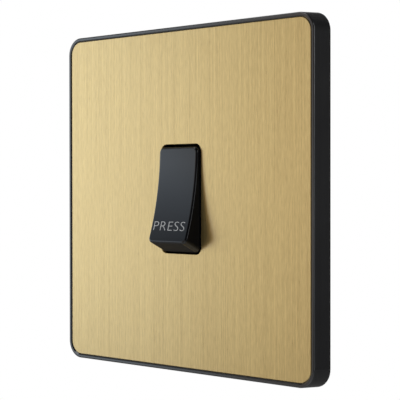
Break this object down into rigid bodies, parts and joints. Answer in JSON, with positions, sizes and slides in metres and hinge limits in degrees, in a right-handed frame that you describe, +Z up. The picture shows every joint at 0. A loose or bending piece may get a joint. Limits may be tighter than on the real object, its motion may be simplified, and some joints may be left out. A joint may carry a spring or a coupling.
{
  "type": "push button light switch",
  "caption": "Square screwless wall switch plate with a brushed brass face in a black surround and a spring-return black rocker that tilts in at its lower end when pressed.",
  "frame": {"origin": "middle of the plate on the wall plane, midway between the two fixing slots", "axes": "+Z up, +X right as seen from the room, the front faces -Y and +Y goes into the wall"},
  "size_m": [0.0956, 0.0335, 0.0956],
  "materials": {
    "brushed_brass": "vertical brushed, satin",
    "surround_black": "fine moulded satin",
    "rocker_black": "satin gloss",
    "housing_grey": "moulded matt",
    "cover_grey": "moulded matt",
    "zinc_steel": "zinc plated",
    "screw_steel": "zinc plated",
    "terminal_brass": "plain machined",
    "strip_copper": "rolled copper alloy",
    "contact_silver": "silver",
    "spring_steel": "drawn wire",
    "nylon_white": "moulded nylon"
  },
  "bodies": {
    "base": {"front_plate": "brushed_brass", "surround_frame": "surround_black", "mounting_yoke": "zinc_steel", "earth_block": "terminal_brass", "earth_screw": "screw_steel", "switch_housing": "housing_grey", "rear_cover": "cover_grey", "return_spring": "spring_steel", "fixed_contacts": "contact_silver", "common_strip": "strip_copper", "upper_strip": "strip_copper", "lower_strip": "strip_copper", "terminal_screws": "screw_steel", "common_block": "terminal_brass", "upper_block": "terminal_brass", "lower_block": "terminal_brass"},
    "rocker": {"rocker": "rocker_black", "plunger_spring": "spring_steel"},
    "plunger": {"plunger": "nylon_white"},
    "contact_arm": {"contact_arm": "strip_copper", "arm_contacts": "contact_silver"}
  },
  "joints": [
    {"name": "rocker_tilt", "type": "hinge", "parent": "base", "child": "rocker", "pos_m": [0, -0.0029, 0], "axis": [1, 0, 0], "range_deg": [0, 17], "stiffness_Nm_per_rad": 0.08, "springref_deg": -14.32, "deforming": ["return_spring"]},
    {"name": "plunger_slide", "type": "slide", "parent": "rocker", "child": "plunger", "axis": [0, -0.9848, 0.1736], "range_m": [0, 0.0008], "stiffness_N_per_m": 300, "springref_m": -0.003, "deforming": ["plunger_spring"]},
    {"name": "contact_arm_tilt", "type": "hinge", "parent": "base", "child": "contact_arm", "pos_m": [0, 0.00956, 0], "axis": [1, 0, 0], "range_deg": [-10, 0]}
  ],
  "couplings": [
    {"joint": "contact_arm_tilt", "follows": "rocker_tilt", "ratio": -0.58823}
  ]
}
